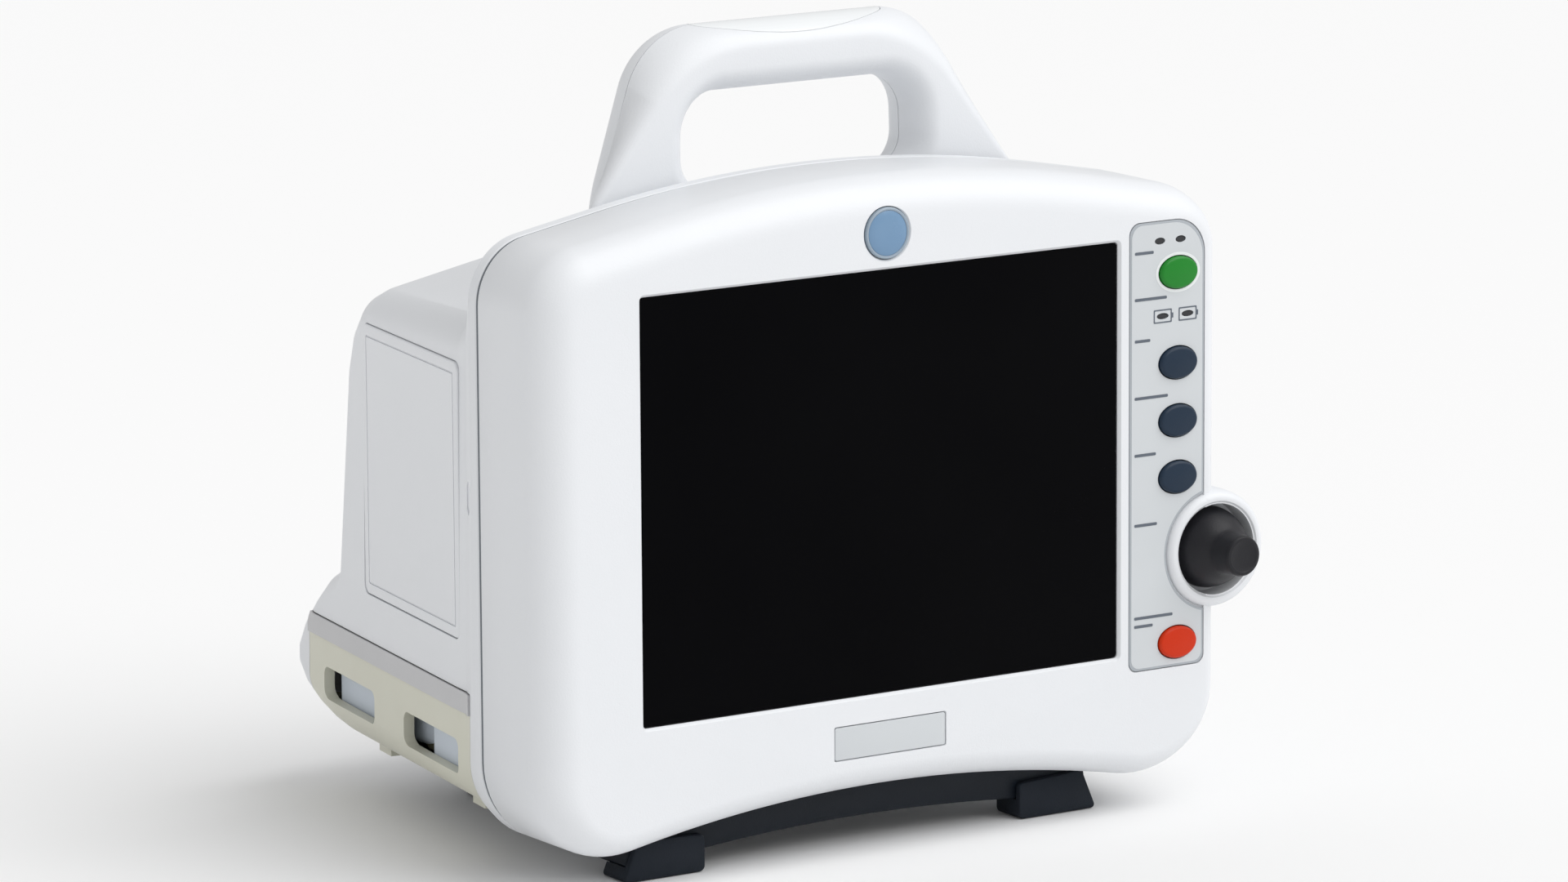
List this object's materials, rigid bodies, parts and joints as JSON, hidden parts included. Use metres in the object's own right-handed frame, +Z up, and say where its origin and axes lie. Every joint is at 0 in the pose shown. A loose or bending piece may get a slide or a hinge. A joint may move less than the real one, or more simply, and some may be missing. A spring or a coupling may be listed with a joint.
{
  "type": "patient monitor",
  "caption": "Portable bedside patient monitor: white housing with carrying handle, black display, key column, control knob, dark foot bar and side battery door",
  "frame": {"origin": "centre of the bounding box in X and Y, at the floor under the feet", "axes": "X is the viewer's right across the front, Y is backwards from the front face, Z is up"},
  "size_m": [0.2612, 0.203, 0.249],
  "materials": {
    "aged_cover": "warm grey moulded, satin",
    "badge_blue": "blank disc",
    "base_moulding": "very dark blue moulded",
    "battery_case": "grey-blue moulded",
    "circuit_board": "solder mask",
    "dark_key": "dark slate key",
    "dark_plastic": "dark moulded",
    "display_glass": "dark flat display cover",
    "foot_rubber": "soft, matte",
    "key_panel": "printed film, satin",
    "knob_rubber": "soft-touch",
    "lamp_lens": "milky translucent",
    "plated_steel": "zinc plated",
    "power_key": "green key",
    "silence_key": "orange-red key",
    "white_casing": "fine moulded texture"
  },
  "bodies": {
    "main_unit": {"acquisition_module": "plated_steel", "alarm_light_board": "circuit_board", "alarm_light_lens": "lamp_lens", "aux_socket": "dark_plastic", "backlight_inverter": "circuit_board", "badge_disc": "badge_blue", "base_plate": "plated_steel", "battery_a": "battery_case", "battery_b": "battery_case", "battery_door_pin": "plated_steel", "battery_indicator": "dark_plastic", "battery_tray": "aged_cover", "charge_indicator_a": "dark_plastic", "charge_indicator_b": "dark_plastic", "cuff_hose_port": "plated_steel", "cuff_pump": "plated_steel", "cuff_valve_block": "dark_plastic", "display_bracket": "plated_steel", "display_window": "display_glass", "ecg_socket": "power_key", "encoder_board": "circuit_board", "encoder_body": "dark_plastic", "foot_bar": "base_moulding", "front_bezel": "white_casing", "front_foot_left": "foot_rubber", "front_foot_right": "foot_rubber", "ground_stud": "plated_steel", "handle_front_half": "white_casing", "handle_rear_half": "white_casing", "keypad_board": "circuit_board", "keypad_overlay": "key_panel", "lcd_panel": "dark_plastic", "main_board": "circuit_board", "main_chassis": "plated_steel", "mains_indicator": "dark_plastic", "mains_inlet": "dark_plastic", "name_plate": "key_panel", "network_socket": "dark_plastic", "oxygen_socket": "badge_blue", "parameter_panel": "key_panel", "power_supply": "plated_steel", "pressure_socket": "dark_plastic", "rear_connector_panel": "dark_plastic", "rear_foot_left": "foot_rubber", "rear_foot_right": "foot_rubber", "rear_housing": "white_casing", "side_blank_plate": "white_casing", "speaker": "dark_plastic", "sync_socket": "dark_plastic", "temperature_socket": "dark_plastic"},
    "power_button": {"power_button": "power_key"},
    "print_button": {"print_button": "dark_key"},
    "cuff_button": {"cuff_button": "dark_key"},
    "zero_button": {"zero_button": "dark_key"},
    "silence_button": {"silence_button": "silence_key"},
    "encoder_shaft": {"encoder_shaft": "plated_steel"},
    "trim_knob": {"trim_knob": "knob_rubber"},
    "battery_door": {"battery_door": "aged_cover"}
  },
  "joints": [
    {"name": "power_button_press", "type": "slide", "parent": "main_unit", "child": "power_button", "axis": [0, 1, 0], "range_m": [0, 0.0014], "stiffness_N_per_m": 400},
    {"name": "print_button_press", "type": "slide", "parent": "main_unit", "child": "print_button", "axis": [0, 1, 0], "range_m": [0, 0.0014], "stiffness_N_per_m": 400},
    {"name": "cuff_button_press", "type": "slide", "parent": "main_unit", "child": "cuff_button", "axis": [0, 1, 0], "range_m": [0, 0.0014], "stiffness_N_per_m": 400},
    {"name": "zero_button_press", "type": "slide", "parent": "main_unit", "child": "zero_button", "axis": [0, 1, 0], "range_m": [0, 0.0014], "stiffness_N_per_m": 400},
    {"name": "silence_button_press", "type": "slide", "parent": "main_unit", "child": "silence_button", "axis": [0, 1, 0], "range_m": [0, 0.0014], "stiffness_N_per_m": 400},
    {"name": "knob_press", "type": "slide", "parent": "main_unit", "child": "encoder_shaft", "axis": [0, 1, 0], "range_m": [0, 0.0008], "stiffness_N_per_m": 1000},
    {"name": "knob_turn", "type": "hinge", "parent": "encoder_shaft", "child": "trim_knob", "pos_m": [0.1121, -0.0865, 0.08], "axis": [0, 1, 0], "continuous": true},
    {"name": "battery_door_hinge", "type": "hinge", "parent": "main_unit", "child": "battery_door", "pos_m": [-0.09933, 0.01941, 0.0169], "axis": [-0.1647, -0.9863, 0], "range_deg": [0, 70]}
  ]
}
